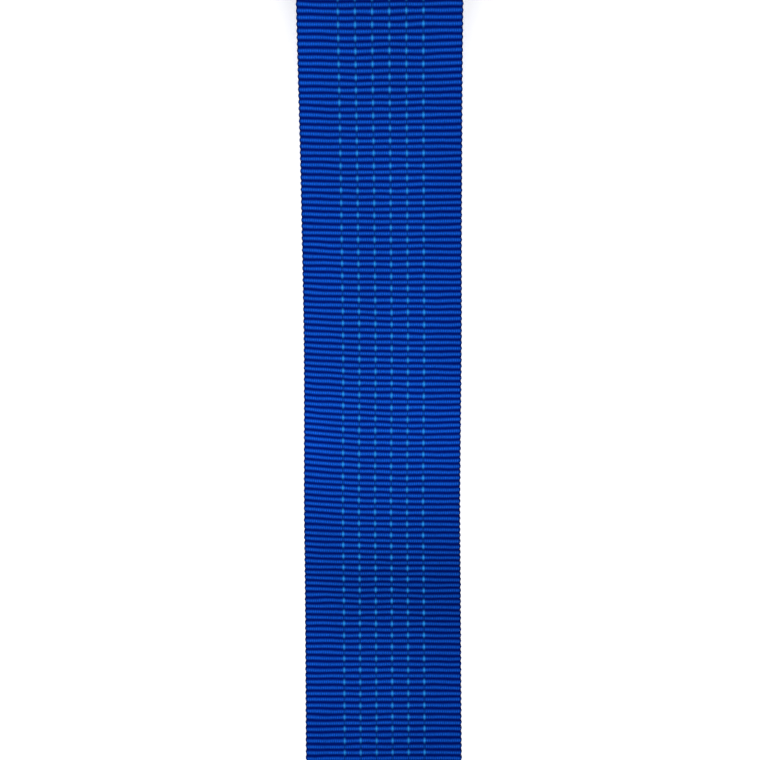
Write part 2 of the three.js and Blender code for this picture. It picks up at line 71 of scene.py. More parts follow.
# Webbing
THICKNESS = 1.3 * MM
RIB_PITCH = 0.956 * MM
RIB_DEPTH = 0.13 * MM
SELVAGE = 0.45 * MM  # the rounding of its edges
SEAL_REACH = 0.9 * MM  # how far a hot-cut end is melted
SCALLOP = 0.9  # how far its edges go in and out with the ribs, as a share of their depth
YARNS_ACROSS = 73
TRACERS = 6
FIRST_TRACER = 0.25  # as shares of the width
TRACER_STEP = 0.1022
FIRST_RIB = 1.79  # counted at the long strap's end, so that the tracers fall on the right ribs

# The long strap's droop from the mandrel down to the floor
DROOP_LENGTH = 134 * MM
DROOP_POWER = 2.6
TAIL = 12 * MM  # how far the end stands out from the axle, through the slot
SPLIT_X = 230 * MM  # inside the hank, where its two meshes meet

# The hank
LAYERS = 22
LAYER_PITCH = 1.5 * MM
LAYER_STEP = 1.5 * MM  # between the points along a layer
LAST_FOLD = 1.8 * MM  # the height of the fold up to the sewn loop
TUCK = 6.2 * MM  # how much further in every second pair of folds lies
FOLD_BULGE = 0.34 * MM  # how much fuller the other folds are
BULGE_REACH = 3 * MM

# The sewn loops. A neck is how far from the bar's axis the two plies part.
HOOK_NECK = 14 * MM
BOLT_NECK = 22 * MM
BOLT_LOOP = 5.75 * MM  # inner radius of the loop round the anchor sleeve
LONG_HEM, SHORT_HEM = 32 * MM, 28 * MM
SEAM_START = 2 * MM  # from the neck
LONG_SEAM_END, SHORT_SEAM_END = 28 * MM, 25 * MM
STITCH = 2.6 * MM

# Metal parts, as radii
HOOK_WIRE = 2.75 * MM
HEXAGON = 5.6 * MM  # to a corner of the bolt's head and its nut
SCREW = 2.98 * MM
WASHER_BORE, WASHER_RIM = 7.25 * MM, 9.8 * MM
SLEEVE_BORE, SLEEVE_RIM = 3.2 * MM, 5.4 * MM
PLATE_EDGE = 0.28 * MM  # rounding of the stamped plates' edges

# The camera looks straight down. Its roll is in degrees and its lens in mm, on a 36 mm sensor.
CAMERA_PLACE = (121.4 * MM, -0.27 * MM, 163.75 * MM)
CAMERA_ROLL = -0.33
CAMERA_LENS = 47.37


def find_joint(name):
    return next(joint for joint in frame["joints"] if joint["name"] == name)


AXLE = Vector(find_joint("spool_turn")["pos_m"])
BOLT = Vector(find_joint("short_strap_swing")["pos_m"])
SHORT_BAR = Vector(find_joint("short_hook_swing")["pos_m"])
LONG_BAR = Vector(find_joint("long_hook_swing")["pos_m"])
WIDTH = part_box("long_strap_run")[1].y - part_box("long_strap_run")[0].y
DROOP_HEIGHT = AXLE.z - THICKNESS / 2
SLOT_TILT = math.atan(DROOP_HEIGHT * DROOP_POWER / DROOP_LENGTH)


# -------- mesh building


def mesh_object(name, points, faces, materials, face_materials=None, smooth=True):
    """A new piece from its points and faces."""
    mesh = bpy.data.meshes.new(name)
    mesh.from_pydata([tuple(p) for p in points], [], faces)
    for material in materials:
        mesh.materials.append(material)
    if face_materials is not None:
        mesh.polygons.foreach_set("material_index", face_materials)
    if smooth:
        mesh.shade_smooth()
        mesh.set_sharp_from_angle(angle=math.radians(40))
    mesh.update()
    piece = bpy.data.objects.new(name, mesh)
    bpy.context.collection.objects.link(piece)
    return piece


def tube_faces(rows, around, closed=False):
    """Quads between rows of points, each row a ring, and a face over each end unless closed."""
    i = np.arange(rows if closed else rows - 1)[:, None]
    j = np.arange(around)[None, :]
    here, ahead = i * around, (i + 1) % rows * around
    beside = (j + 1) % around
    corners = [here + beside, ahead + beside, ahead + j, here + j]
    quads = np.stack([np.broadcast_to(corner, (len(i), around)) for corner in corners], -1)
    faces = [tuple(quad) for quad in quads.reshape(-1, 4)]
    if not closed:
        faces.append(tuple(range(around)))
        faces.append(tuple(range((rows - 1) * around, rows * around))[::-1])
    return faces


def settle(piece, body, slot, *nodes):
    """The piece rides on a body and stands for CAD nodes, which it hides. slot is not used."""
    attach(piece, body)
    if nodes:
        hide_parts(*nodes)
    return piece


def unit_tangents(path):
    """The way a polyline runs at each of its points."""
    tangent = np.gradient(path, axis=0)
    return tangent / np.linalg.norm(tangent, axis=1)[:, None]


def section_loop(width, thickness, rounding, across):
    """A flat section with rounded edges, as distances across and through it."""
    half, deep = width / 2, thickness / 2
    flat = np.linspace(-half + rounding, half - rounding, across)
    turn = np.radians([60, 30, 0, -30, -60])
    side_across = half - rounding + rounding * np.cos(turn)
    side_deep = deep * np.sin(turn)
    top = np.stack([flat, np.full(across, deep)], 1)
    right = np.stack([side_across, side_deep], 1)
    bottom = np.stack([flat[::-1], np.full(across, -deep)], 1)
    return np.concatenate([top, right, bottom, -right])


def bell(x, middle, width):
    """1 at a place along the webbing, falling smoothly to nothing beyond width, both in mm."""
    return np.exp(-(((x - middle * MM) / (width * MM)) ** 2))


def after(x, middle, width):
    """0 well before a place along the webbing, 1 well past it."""
    return 1 / (1 + np.exp(np.clip((middle * MM - x) / (width * MM), -50, 50)))


# The numbers in the next three functions, and in wander, were fitted to the photograph's ribs,
# shades and edges, so that this stretch of webbing lies as that one does.


def rib_shift(x, share):
    """How far a rib lies along the webbing from straight across.

    share is the place across, from -0.5 to 0.5. A rib leans, bows and bends like an S.
    """
    lean = np.radians(-0.32 + 2.05 * bell(x, 130, 32))
    bow = -0.85 * bell(x, 131, 15) - 0.6 * (1 - after(x, 150, 4))
    bend = 0.65
    return np.tan(lean) * WIDTH * share + (bow * share**2 + bend * share**3) * MM


def rib_pitch(x):
    """The weft is beaten up a little tighter in places."""
    return RIB_PITCH * (1 - 0.065 * bell(x, 152, 9.5))


def painted_shade_and_weft_tone(x, share):
    """Slow changes of brightness along and across the webbing, mostly painted shade: lighter and
    darker stretches along it for light on its tilts, darker towards its +Y edge, and darkest where
    the weft is tight, partly the real darkness of its shorter floats there.
    """
    along = 1.04 + 0.10 * bell(x, 128.5, 8) - 0.15 * bell(x, 154, 10) - 0.075 * after(x, 145, 4)
    across = 0.115 + 0.13 * after(x, 137, 5)
    return along * (1 - across * share)


def add_weave_map(mesh, across, ribs):
    """A UV map in shares of the width across the webbing, and in ribs along it."""
    vertex = np.zeros(len(mesh.loops), np.int32)
    mesh.loops.foreach_get("vertex_index", vertex)
    uv = np.stack([across.ravel()[vertex], ribs.ravel()[vertex]], 1)
    mesh.uv_layers.new(name="weave").data.foreach_set("uv", uv.astype(np.float32).ravel())


def add_point_values(mesh, name, values):
    """One number for each point, which a material reads by name."""
    layer = mesh.attributes.new(name, "FLOAT", "POINT")
    layer.data.foreach_set("value", values.astype(np.float32).ravel())


def ribbon(name, path, side, materials, width=WIDTH, thickness=THICKNESS, relief=0.0, across=12,
           first_rib=0.0, seals=(True, True)):
    """Webbing or tape along a path, and its length. side points across it.

    relief is the depth of its ribs, across the points on each face, and seals says whether its
    start and its end were cut hot.
    """
    path = np.array(path, float)
    side = np.array(side, float)
    normal = np.cross(unit_tangents(path), side)
    loop = section_loop(width, thickness, min(SELVAGE, thickness / 2), across)[None, :, :]
    beside, through = loop[:, :, 0], loop[:, :, 1]
    share = beside / width
    steps = np.linalg.norm(np.diff(path, axis=0), axis=1)
    along = np.concatenate([[0], np.cumsum(steps)])

    pitch = rib_pitch(path[:, 0])
    count = np.concatenate([[0], np.cumsum(steps / pitch[1:])])
    ribs = first_rib + count[:, None] - rib_shift(path[:, :1], share) / pitch[:, None]
    groove = relief * (0.5 - 0.5 * np.cos(2 * math.pi * ribs))
    at_edge = np.clip((np.abs(beside) - width / 2 + SELVAGE) / SELVAGE, 0, 1)
    scallop = at_edge * SCALLOP * (groove - 0.4 * relief)
    out_beside = beside - np.sign(beside) * scallop
    out_through = through * (1 - groove / (thickness / 2))
    points = (path[:, None, :] + out_beside[:, :, None] * side
              + out_through[:, :, None] * normal[:, None, :])

    rows, around = ribs.shape
    piece = mesh_object(name, points.reshape(-1, 3), tube_faces(rows, around), materials)
    sealed = np.zeros(rows)
    for wanted, distance in zip(seals, (along, along[-1] - along)):
        sealed += wanted * np.exp(-((distance / SEAL_REACH) ** 2))
    add_weave_map(piece.data, np.broadcast_to(share + 0.5, ribs.shape), ribs)
    add_point_values(piece.data, "seal", np.repeat(sealed, around))
    # The tone values are painted shade along and across the webbing, partly the tight weft's own
    # darkness.
    add_point_values(piece.data, "tone", painted_shade_and_weft_tone(path[:, :1], share))
    return piece, float(along[-1])


def sweep(path, radii, sides):
    """Points and faces of a round tube along a path, with rounded ends."""
    path = np.array(path, float)
    radii = np.broadcast_to(radii, len(path))
    tangent = unit_tangents(path)
    caps = np.radians([80, 60, 35])
    start = [path[0] - tangent[0] * radii[0] * math.sin(a) for a in caps]
    end = [path[-1] + tangent[-1] * radii[-1] * math.sin(a) for a in caps[::-1]]
    path = np.concatenate([start, path, end])
    narrow = np.cos(caps)
    radii = np.concatenate([radii[0] * narrow, radii, radii[-1] * narrow[::-1]])
    tangent = np.concatenate([[tangent[0]] * len(caps), tangent, [tangent[-1]] * len(caps)])
    helper = np.array([0, 0, 1.0]) if abs(tangent[0][2]) < 0.9 else np.array([1.0, 0, 0])
    across = np.cross(tangent[0], helper)
    turn = np.linspace(0, 2 * math.pi, sides, endpoint=False)[:, None]
    rows = []
    for point, direction, radius in zip(path, tangent, radii):
        across = across - direction * (across @ direction)
        across /= np.linalg.norm(across)
        up = np.cross(direction, across)
        rows.append(point + radius * (np.cos(turn) * across + np.sin(turn) * up))
    return np.concatenate(rows), tube_faces(len(rows), sides)


def merged(parts):
    """Several (points, faces) as one."""
    points, faces, base = [], [], 0
    for part_points, part_faces in parts:
        points.append(part_points)
        faces += [tuple(base + i for i in face) for face in part_faces]
        base += len(part_points)
    return np.concatenate(points), faces


def turned(rows, centre, segments, closed=False):
    """A shape round an axis along Y: rows of (y, radius), or (y, radius at each angle)."""
    turn = np.linspace(0, 2 * math.pi, segments, endpoint=False)
    points = []
    for y, radius in rows:
        radius = radius(turn) if callable(radius) else np.full(segments, radius)
        x, z = centre.x + radius * np.cos(turn), centre.z + radius * np.sin(turn)
        points.append(np.stack([x, np.full(segments, y), z], 1))
    faces = [face[::-1] for face in tube_faces(len(rows), segments, closed)]
    return np.concatenate(points), faces


def outward(piece):
    """Turns the faces of a closed mesh outwards."""
    work = bmesh.new()
    work.from_mesh(piece.data)
    bmesh.ops.recalc_face_normals(work, faces=work.faces)
    work.to_mesh(piece.data)
    work.free()
    return piece


def refined(node, name, width, material, folds=None, fold_width=0.0):
    """A copy of a CAD node with its edges broken, as a real stamped or turned part has them.

    width is the bevel of its edges. folds picks the points on a bent plate's folds, which are
    rounded by fold_width.
    """
    mesh = frame["nodes"][node].data.copy()
    work = bmesh.new()
    work.from_mesh(mesh)
    bmesh.ops.remove_doubles(work, verts=work.verts, dist=0.002 * MM)
    bmesh.ops.dissolve_limit(
        work, angle_limit=math.radians(1), verts=work.verts, edges=work.edges)
    if folds:
        weight = work.edges.layers.float.new("bevel_weight_edge")
        for edge in work.edges:
            edge[weight] = float(all(folds(v.co) for v in edge.verts))
    work.to_mesh(mesh)
    work.free()
    mesh.materials.clear()
    mesh.materials.append(material)
    mesh.shade_smooth()
    mesh.set_sharp_from_angle(angle=math.radians(35))
    mesh.name = name
    piece = bpy.data.objects.new(name, mesh)
    bpy.context.collection.objects.link(piece)
    if folds:
        rounding = piece.modifiers.new("folds", "BEVEL")
        rounding.limit_method = "WEIGHT"
        rounding.width = fold_width
        rounding.segments = 5
    edges = piece.modifiers.new("edges", "BEVEL")
    edges.limit_method = "ANGLE"
    edges.angle_limit = math.radians(38)
    edges.width = width
    edges.segments = 2
    edges.harden_normals = True
    return piece


# -------- materials


class Nodes:
    """Builds one material. Numbers, colours and other nodes' outputs can feed any input."""

    def __init__(self, name):
        self.material = bpy.data.materials.new(name)
        self.material.use_nodes = True
        self.tree = self.material.node_tree
        self.shader = self.tree.nodes["Principled BSDF"]

    def feed(self, socket, value):
        if isinstance(value, bpy.types.NodeSocket):
            self.tree.links.new(value, socket)
        else:
            socket.default_value = value

    def add(self, kind, inputs=(), **settings):
        node = self.tree.nodes.new(kind)
        for key, value in settings.items():
            setattr(node, key, value)
        for socket, value in dict(inputs).items():
            self.feed(node.inputs[socket], value)
        return node

    def math(self, operation, *values):
        inputs = dict(enumerate(values))
        return self.add("ShaderNodeMath", inputs, operation=operation).outputs[0]

    def times(self, a, b):
        return self.math("MULTIPLY", a, b)

    def mix(self, factor, low, high):
        node = self.add("ShaderNodeMix", data_type="RGBA")
        for socket, value in ((0, factor), (6, low), (7, high)):
            self.feed(node.inputs[socket], value)
        return node.outputs[2]

    def between(self, value, low, high, to_low=0.0, to_high=1.0):
        """Goes smoothly from to_low to to_high as value goes from low to high."""
        inputs = {0: value, 1: low, 2: high, 3: to_low, 4: to_high}
        return self.add("ShaderNodeMapRange", inputs, interpolation_type="SMOOTHSTEP").outputs[0]

    def bell(self, value, width):
        """1 where value is 0, falling smoothly to nothing beyond width."""
        square = self.math("POWER", self.math("DIVIDE", value, width), 2.0)
        return self.math("EXPONENT", self.times(square, -1.0))

    def ripple(self, value):
        """1 at each whole number and 0 halfway between."""
        wave = self.math("COSINE", self.times(value, 2 * math.pi))
        return self.math("MULTIPLY_ADD", wave, 0.5, 0.5)

    def noise(self, scale, detail=2.0, roughness=0.5, stretch=None, vector=None):
        if vector is None:
            vector = self.add("ShaderNodeTexCoord").outputs["Object"]
        if stretch is not None:
            vector = self.add("ShaderNodeMapping", {"Vector": vector, "Scale": stretch}).outputs[0]
        inputs = {"Vector": vector, "Scale": scale, "Detail": detail, "Roughness": roughness}
        return self.add("ShaderNodeTexNoise", inputs).outputs[0]

    def flat_noise(self, x, y, detail, roughness=0.5, scale=1.0):
        """Noise over a surface's own two coordinates."""
        vector = self.add("ShaderNodeCombineXYZ", {0: x, 1: y}).outputs[0]
        return self.noise(scale, detail, roughness, vector=vector)

    def bump(self, height, distance, strength=1.0):
        inputs = {"Height": height, "Distance": distance, "Strength": strength}
        node = self.add("ShaderNodeBump", inputs)
        self.tree.links.new(node.outputs[0], self.shader.inputs["Normal"])

    def finish(self, **sockets):
        for name, value in sockets.items():
            self.feed(self.shader.inputs[name.replace("_", " ")], value)
        return self.material


def webbing_material(name, rib_bump, edge_calm, edge_shade):
    """Ribbed polyester: yarns floating over each rib, and pale tracers on every second rib.

    rib_bump stands in for ribs that the mesh hasn't got. edge_calm smooths the ribs' colour away
    on the selvage, and edge_shade darkens it.
    """
    # groove is painted shade: the dark navy of the hollows between ribs, partly the yarns' own deeper
    # colour.
    groove, rib = (0.00025, 0.0052, 0.134, 1), (0.0032, 0.067, 0.437, 1)
    tracer_cyan, melted = (0.0175, 0.234, 0.62, 1), (0.004, 0.012, 0.05, 1)
    n = Nodes(name)
    uv = n.add("ShaderNodeUVMap", uv_map="weave").outputs[0]
    place = n.add("ShaderNodeSeparateXYZ", {0: uv})
    across, ribs = place.outputs[0], place.outputs[1]
    drift = n.flat_noise(n.times(across, 5.0), n.times(ribs, 0.35), 1.0, scale=0.9)
    ribs = n.math("ADD", ribs, n.times(n.math("SUBTRACT", drift, 0.5), 0.35))
    edge = n.math("MINIMUM", across, n.math("SUBTRACT", 1.0, across))
    crest = n.times(n.ripple(ribs), n.between(edge, 0.001, 0.016, 1.0 - edge_calm, 1.0))

    # How far away the nearest rib with tracers is, from 0 to 1 rib
    pair = n.times(ribs, 0.5)
    pair = n.times(n.math("SUBTRACT", pair, n.math("ROUND", pair)), 2.0)
    away = n.math("ABSOLUTE", pair)
    other_rib = n.math("GREATER_THAN", away, 0.5)

    # Yarns lie side by side, and those of one rib sit over the gaps of the next
    column = n.math("MULTIPLY_ADD", across, float(YARNS_ACROSS), n.times(other_rib, 0.5))
    yarn = n.times(n.ripple(column), crest)

    # Distance to the nearest tracer, in metres
    count = n.math("DIVIDE", n.math("SUBTRACT", across, FIRST_TRACER), TRACER_STEP)
    nearest = n.math("MAXIMUM", n.math("MINIMUM", n.math("ROUND", count), TRACERS - 1.0), 0.0)
    gap = n.times(n.math("SUBTRACT", count, nearest), TRACER_STEP * WIDTH)
    tracer = n.times(n.bell(gap, 0.145 * MM), n.bell(away, 0.35))
    flare = n.times(n.bell(gap, 0.40 * MM), n.bell(away, 0.16))
    notch = n.times(n.bell(gap, 0.13 * MM), n.bell(n.math("SUBTRACT", away, 1.0), 0.42))

    # Colour: dye on each rib, painted dark in its grooves as the shade between the ribs and partly
    # the yarns' own deeper colour there, then its shade, the tracers and the melted ends
    colour = n.mix(n.math("POWER", crest, 1.3), groove, rib)
    fibres = n.flat_noise(n.times(across, 260.0), n.times(ribs, 1.6), 3.0, 0.7)
    wear = n.flat_noise(n.times(across, 2.0), n.times(ribs, 0.035), 2.0)
    # Painted light and shade: each yarn lighter along its middle and darker between yarns, for their
    # round shape.
    shade = n.math("MULTIPLY_ADD", yarn, 0.56, 0.70)
    shade = n.times(shade, n.between(fibres, 0.25, 0.75, 0.72, 1.28))
    shade = n.times(shade, n.between(wear, 0.3, 0.7, 0.96, 1.04))
    # Painted shade along and across the webbing, from its tone values, partly the tight weft's own
    # darkness.
    shade = n.times(shade, n.add("ShaderNodeAttribute", attribute_name="tone").outputs["Fac"])
    shade = n.times(shade, n.math("MULTIPLY_ADD", notch, -0.45, 1.0))
    shade = n.times(shade, n.between(edge, 0.0, 0.020, edge_shade, 1.0))
    dyed = n.add("ShaderNodeVectorMath", {0: colour, 3: shade}, operation="SCALE").outputs[0]
    pale = n.math("MINIMUM", n.math("MULTIPLY_ADD", flare, 0.15, tracer), 1.0)
    traced = n.mix(pale, dyed, tracer_cyan)
    seal = n.add("ShaderNodeAttribute", attribute_name="seal").outputs["Fac"]
    sealed = n.mix(n.times(seal, 0.75), traced, melted)

    height = n.math("MULTIPLY_ADD", crest, rib_bump, n.times(yarn, 0.05))
    height = n.math("MULTIPLY_ADD", fibres, 0.03, height)
    n.bump(height, 1 * MM)
    rough = n.between(seal, 0.0, 1.0, 0.78, 0.40)
    return n.finish(Base_Color=sealed, Roughness=rough, Specular_IOR_Level=0.005)


def plated(name, colour, tint, roughness, grain=(1.0, 1.0, 1.0)):
    """Zinc-plated steel: cloudy plating, fine scratches and dull handled patches."""
    dulled = (0.17, 0.165, 0.16, 1)
    n = Nodes(name)
    cloud = n.noise(90, 3.0, 0.6)
    scratches = n.noise(900, 2.0, 0.6, stretch=grain)
    speckle = n.noise(2600, 1.0)
    patches = n.noise(45, 4.0, 0.65)
    base = n.mix(n.between(cloud, 0.35, 0.68), colour, tint)
    base = n.mix(n.between(patches, 0.55, 0.80, 0.0, 0.22), base, dulled)
    worn = n.between(scratches, 0.35, 0.7, roughness - 0.07, roughness + 0.09)
    rough = n.math("ADD", worn, n.between(patches, 0.5, 0.8, 0.0, 0.14))
    height = n.math("MULTIPLY_ADD", scratches, 0.7, n.times(speckle, 0.5))
    n.bump(height, 0.03 * MM, 0.6)
    return n.finish(Base_Color=base, Roughness=rough, Metallic=1.0)


def moulded(name, colour, pale, roughness, grain):
    """Moulded plastic or rubber with a fine spark-eroded grain."""
    n = Nodes(name)
    fine = n.noise(grain, 2.0, 0.6)
    smear = n.noise(70, 4.0, 0.65)
    base = n.mix(n.between(smear, 0.42, 0.72), colour, pale)
    rough = n.between(smear, 0.3, 0.7, roughness - 0.08, roughness + 0.1)
    n.bump(fine, 0.06 * MM, 0.7)
    return n.finish(Base_Color=base, Roughness=rough, Specular_IOR_Level=0.22)


def tape_material(name, colour, pale):
    """Loop pile of hook-and-loop tape."""
    n = Nodes(name)
    where = n.add("ShaderNodeTexCoord").outputs["Object"]
    loops = n.add("ShaderNodeTexVoronoi", {"Scale": 1500.0, "Vector": where})
    pile = loops.outputs["Distance"]
    fuzz = n.noise(2200, 3.0, 0.7)
    shade = n.times(n.between(pile, 0.0, 0.7), n.between(fuzz, 0.3, 0.7, 0.5, 1.0))
    n.bump(shade, 0.25 * MM)
    return n.finish(Base_Color=n.mix(shade, colour, pale), Roughness=0.95,
                    Specular_IOR_Level=0.05, Sheen_Weight=0.06, Sheen_Roughness=0.6)


def label_material():
    """Plain woven satin label."""
    n = Nodes("label_satin")
    dark, light, soiled = (0.36, 0.35, 0.30, 1), (0.52, 0.50, 0.43, 1), (0.32, 0.30, 0.25, 1)
    where = n.add("ShaderNodeTexCoord").outputs["Object"]
    waves = []
    for direction, scale in (("X", 900.0), ("Y", 650.0)):
        inputs = {"Vector": where, "Scale": scale, "Distortion": 0.6}
        waves.append(n.add("ShaderNodeTexWave", inputs, bands_direction=direction).outputs[1])
    weave = n.times(n.math("ADD", *waves), 0.5)
    grime = n.noise(120, 3.0, 0.6)
    base = n.mix(n.between(weave, 0.1, 0.9), dark, light)
    base = n.mix(n.between(grime, 0.5, 0.75, 0.0, 0.25), base, soiled)
    n.bump(weave, 0.05 * MM)
    return n.finish(Base_Color=base, Roughness=0.6, Specular_IOR_Level=0.3)


def thread_material(name, colour, pale):
    """Twisted sewing thread."""
    n = Nodes(name)
    twist = n.noise(3500, 2.0, 0.6)
    n.bump(twist, 0.08 * MM)
    return n.finish(Base_Color=n.mix(n.between(twist, 0.3, 0.7), colour, pale), Roughness=0.7,
                    Specular_IOR_Level=0.3)


WEB_CLOSE = webbing_material("webbing_modelled_ribs", 0.0, 0.45, 0.50)
WEB_FAR = webbing_material("webbing_bumped_ribs", 0.12, 0.65, 0.74)
ZINC = plated("zinc_plate", (0.43, 0.44, 0.45, 1), (0.35, 0.365, 0.39, 1), 0.30, (0.15, 1, 1))
TURNED = plated("zinc_turned", (0.42, 0.43, 0.44, 1), (0.33, 0.345, 0.37, 1), 0.26, (1, 0.1, 1))
YELLOW = plated("yellow_zinc", (0.50, 0.40, 0.20, 1), (0.45, 0.345, 0.21, 1), 0.32, (0.3, 1, 1))
FASTENER = plated("fastener_zinc", (0.40, 0.41, 0.43, 1), (0.32, 0.33, 0.36, 1), 0.34)
WIRE = plated("hook_wire", (0.43, 0.43, 0.44, 1), (0.35, 0.355, 0.37, 1), 0.27, (0.2, 1, 1))
SPRING_STEEL = plated("spring_wire", (0.42, 0.43, 0.45, 1), (0.33, 0.34, 0.36, 1), 0.25)
RUBBER = moulded("grip_rubber", (0.008, 0.008, 0.009, 1), (0.016, 0.016, 0.017, 1), 0.58, 1400)
VINYL = moulded("hook_vinyl", (0.008, 0.008, 0.009, 1), (0.014, 0.014, 0.015, 1), 0.36, 500)
NYLON = moulded("nut_nylon", (0.02, 0.10, 0.34, 1), (0.03, 0.14, 0.40, 1), 0.45, 900)
PILE = tape_material("tie_pile", (0.004, 0.004, 0.005, 1), (0.020, 0.020, 0.022, 1))
LABEL = label_material()
THREAD = thread_material("sewing_thread", (0.42, 0.45, 0.50, 1), (0.66, 0.68, 0.72, 1))


# -------- webbing


def spaced(points, step):
    """The same polyline with points a step apart."""
    points = np.array(points, float)
    lengths = np.linalg.norm(np.diff(points, axis=0), axis=1)
    along = np.concatenate([[0], np.cumsum(lengths)])
    at = np.linspace(0, along[-1], max(2, int(round(along[-1] / step)) + 1))
    return np.stack([np.interp(at, along, points[:, k]) for k in range(3)], 1)


def arc(centre_x, centre_z, radius, start, end, count):
    """Points round a centre in X and Z, between two angles in degrees."""
    turn = np.radians(np.linspace(start, end, count))
    return [(centre_x + radius * math.cos(a), 0.0, centre_z + radius * math.sin(a)) for a in turn]


def smooth_join(a, a_way, b, b_way, count):
    """A cubic between two points in X and Z, leaving and arriving along the given ways."""
    a, b = np.array(a, float), np.array(b, float)
    reach = np.linalg.norm(b - a) / 3
    c, d = a + reach * np.array(a_way, float), b - reach * np.array(b_way, float)
    points = []
    for t in np.linspace(0, 1, count):
        u = 1 - t
        points.append(tuple(u**3 * a + 3 * t * u**2 * c + 3 * t * t * u * d + t**3 * b))
    return points


def droop(x):
    """Height of the webbing's middle over the floor."""
    share = max(0.0, 1 - (x - AXLE.x) / DROOP_LENGTH)
    if x < AXLE.x:
        return AXLE.z - (x - AXLE.x) * math.tan(SLOT_TILT)
    return THICKNESS / 2 + DROOP_HEIGHT * share**DROOP_POWER


def wander(x):
    """How far the webbing lies to one side of its middle line."""
    return (0.2 * bell(x, 114, 16) + 0.1 * bell(x, 90, 14) - 0.06 * bell(x, 143, 8)) * MM


def eased(share):
    """0 to 1, slow at both ends."""
    share = np.clip(share, 0, 1)
    return share * share * (3 - 2 * share)


def run_height(x, low):
    """The run rises a little where it slides onto the tie's lower side, under the hank."""
    start, length = low.x - 12 * MM, 14 * MM
    return droop(x) + low.z * eased((x - start) / length)


def long_strap():
    """From the end that stands out of the mandrel's slot to inside the hank's lowest layer."""
    low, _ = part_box("long_strap_hank")
    x0 = AXLE.x - TAIL * math.cos(SLOT_TILT)
    path = [(x, wander(x), run_height(x, low)) for x in np.linspace(x0, SPLIT_X, 900)]
    path = spaced(path, RIB_PITCH / 8)
    piece, length = ribbon("long_strap", path, (0, 1, 0), [WEB_CLOSE], relief=RIB_DEPTH,
                           first_rib=FIRST_RIB, seals=(True, False))
    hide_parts("strap_in_slot", "long_strap_run")
    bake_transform(piece)
    return length


def hank_layers(low, high):
    """The folds of the hank, to and fro, as points in X and Z, starting at the split."""
    folds = []
    for k in range(LAYERS):
        tucked = (k // 2) % 2 == 1
        inset = 0.8 * MM + (TUCK if tucked else 0.0) + 1.1 * MM * abs(math.sin(2.1 * k))
        end = high.x - inset if k % 2 == 0 else low.x + inset
        folds.append((end, 0.0 if tucked or k == LAYERS - 1 else FOLD_BULGE))
    points = []
    x, bulge = SPLIT_X, 0.0
    for k, (end, next_bulge) in enumerate(folds):
        z = low.z + THICKNESS / 2 + k * LAYER_PITCH
        way = 1 if end > x else -1
        for at in np.arange(x, end, way * LAYER_STEP):
            leaving = bulge * math.exp(-(((at - x) / BULGE_REACH) ** 2))
            arriving = next_bulge * math.exp(-(((end - at) / BULGE_REACH) ** 2))
            points.append((at, 0.0, z + leaving - arriving))
        gap = LAYER_PITCH if k < LAYERS - 1 else LAST_FOLD
        middle, radius = z + gap / 2, gap / 2 + next_bulge
        for a in np.radians(np.linspace(-90, 90, 11)):
            points.append((end + way * radius * math.cos(a), 0.0, middle + radius * math.sin(a)))
        x, bulge = end, next_bulge
    return points, x


def looped_end(bar, radius, flat_z, hem_z, neck, hem, facing):
    """Points from the neck round a bar and back over to the hem's end. facing is the bar's side."""
    leave = 112  # degrees round from the bar's side, where the loop turns back
    r = radius + THICKNESS / 2
    bottom = (bar.x, 0.0, bar.z - r)
    neck_x = bar.x - facing * neck
    lead = smooth_join((neck_x, 0.0, flat_z), (facing, 0, 0), bottom, (facing, 0, 0), 30)
    around = arc(0.0, bar.z, r, -90, leave, 60)
    around = [(bar.x + facing * x, y, z) for x, y, z in around]
    a = math.radians(leave)
    way = (-facing * math.sin(a), 0, math.cos(a))
    hem_start = (neck_x + facing * 1.5 * MM, 0.0, hem_z)
    back = smooth_join(around[-1], way, hem_start, (-facing, 0, 0), 30)
    end = (neck_x - facing * hem, 0.0, hem_z)
    return lead + around[1:] + back[1:] + [end]


def layer_slip(path, low):
    """How far the hank's layers lie to one side: hardly at all under the ties, more between them."""
    layer = (path[:, 2] - low.z) / LAYER_PITCH
    free = np.ones(len(path))
    for tie in ("hank_tie_near", "hank_tie_far"):
        tie_low, tie_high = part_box(tie)
        away = np.abs(path[:, 0] - (tie_low.x + tie_high.x) / 2) - (tie_high.x - tie_low.x) / 2
        free = np.minimum(free, eased(away / (14 * MM)))
    held = 0.16 * np.sin(2.4 * layer) * MM
    loose = (0.42 * np.sin(1.9 * layer + 0.7) + 0.30 * np.sin(3.3 * layer + path[:, 0] * 35)) * MM
    return held + (loose - held) * free


def long_strap_spare():
    """The folded spare length, and the sewn loop on top of it that holds the hook."""
    low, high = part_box("long_strap_hank")
    end_low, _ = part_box("long_strap_end")
    layers, x = hank_layers(low, high)
    top = end_low.z + THICKNESS / 2
    loop_radius = LONG_BAR.z - end_low.z - THICKNESS
    lying = [(x, 0.0, top), (LONG_BAR.x - HOOK_NECK, 0.0, top)]
    loop = looped_end(LONG_BAR, loop_radius, top, top + THICKNESS, HOOK_NECK, LONG_HEM, 1)
    close = np.array(spaced(lying + loop[1:], RIB_PITCH / 4))
    path = np.concatenate([np.array(layers)[:-1], close])
    path[:, 1] = layer_slip(path, low) * np.clip((top - path[:, 2]) / (2 * MM), 0, 1)
    piece, length = ribbon("long_strap_spare", path, (0, 1, 0), [WEB_FAR], relief=0.06 * MM,
                           across=8, seals=(False, True))
    settle(piece, "frame", "webbing", "long_strap_hank", "long_strap_end")
    return length, top


